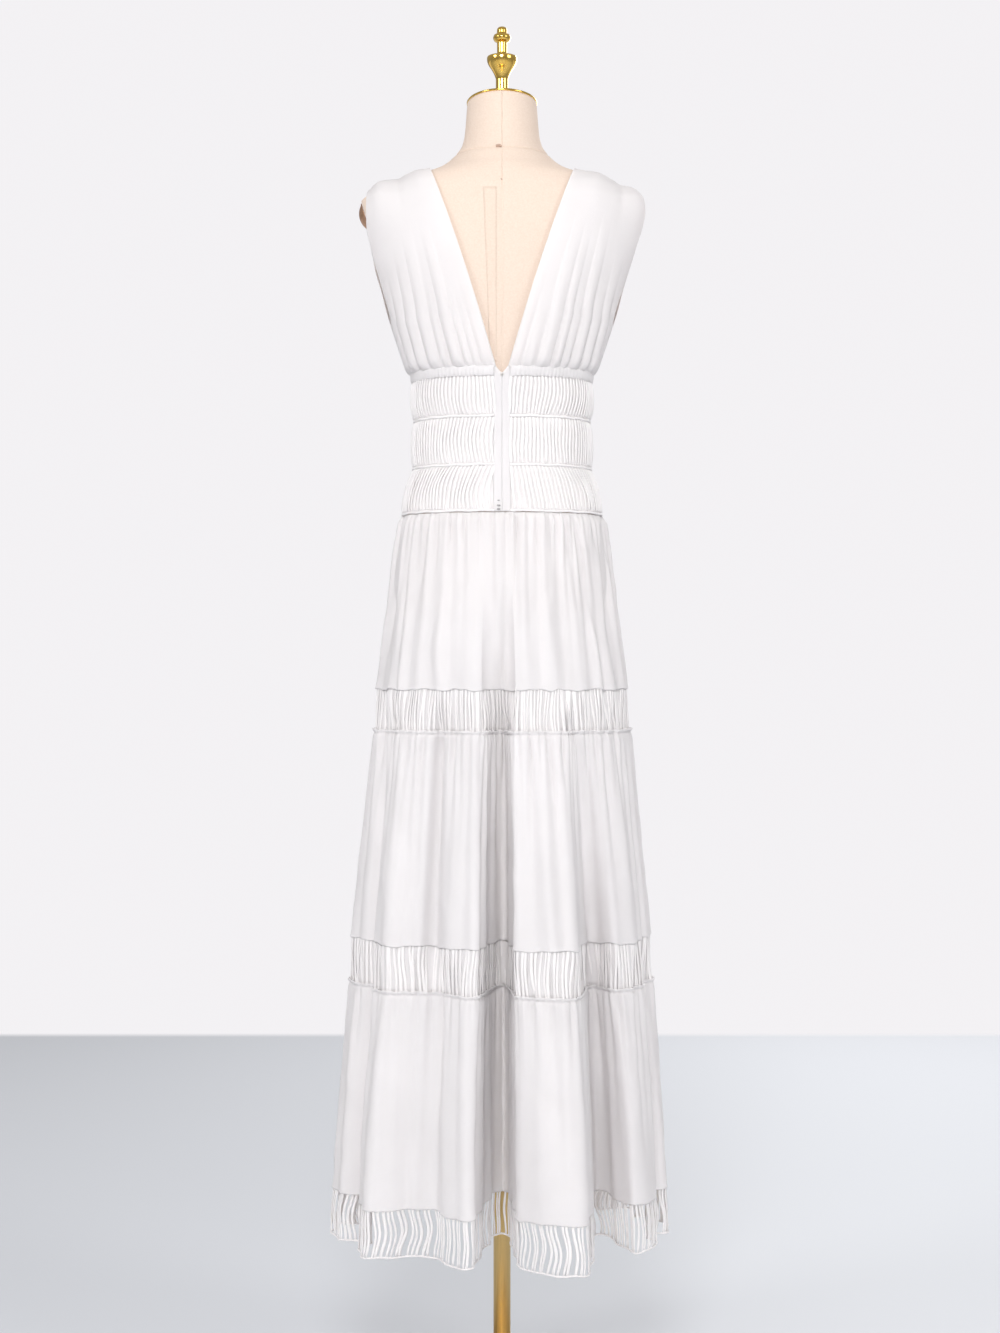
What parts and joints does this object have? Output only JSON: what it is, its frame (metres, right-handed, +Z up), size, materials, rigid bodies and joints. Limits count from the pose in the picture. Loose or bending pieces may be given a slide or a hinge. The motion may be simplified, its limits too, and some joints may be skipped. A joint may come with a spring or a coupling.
{
  "type": "maxi dress on a dress form",
  "caption": "Sleeveless V-back maxi dress with a gathered bodice, ribbed openwork waist and tiered skirt with openwork insertions, on a limbless dress form with a pole and base.",
  "frame": {"origin": "centre of the underside of the stand's base, on the floor under the pole", "axes": "+Z up, the front of the dress faces -Y, the wearer's left is +X"},
  "size_m": [0.4563, 0.4628, 1.8515],
  "materials": {
    "cloth": "sheer white georgette, matte",
    "openwork": "white openwork trim, matte",
    "linen": "cream linen cover, matte",
    "brass": "satin brass",
    "copper": "satin copper brown"
  },
  "bodies": {
    "root": {"bodice_back_left": "cloth", "bodice_back_right": "cloth", "bodice_front_left": "cloth", "bodice_front_right": "cloth", "waist_lining": "cloth", "waist_casing": "cloth", "zip_lip_left": "cloth", "zip_lip_right": "cloth", "tier_1_back_left": "cloth", "tier_1_back_right": "cloth", "tier_1_front": "cloth", "tier_2_back": "cloth", "tier_2_front": "cloth", "tier_3_back": "cloth", "tier_3_front": "cloth", "waist_band_1": "openwork", "waist_band_2": "openwork", "waist_band_3": "openwork", "waist_cord_1": "openwork", "waist_cord_2": "openwork", "waist_cord_3": "openwork", "insertion_1_back": "openwork", "insertion_1_front": "openwork", "insertion_2_back": "openwork", "insertion_2_front": "openwork", "hem_insertion_back": "openwork", "hem_insertion_front": "openwork", "form_torso": "linen", "form_neck_cap": "brass", "form_finial": "brass", "stand_pole": "brass", "stand_base": "brass", "form_arm_plate_left": "copper", "form_arm_plate_right": "copper"}
  },
  "joints": []
}
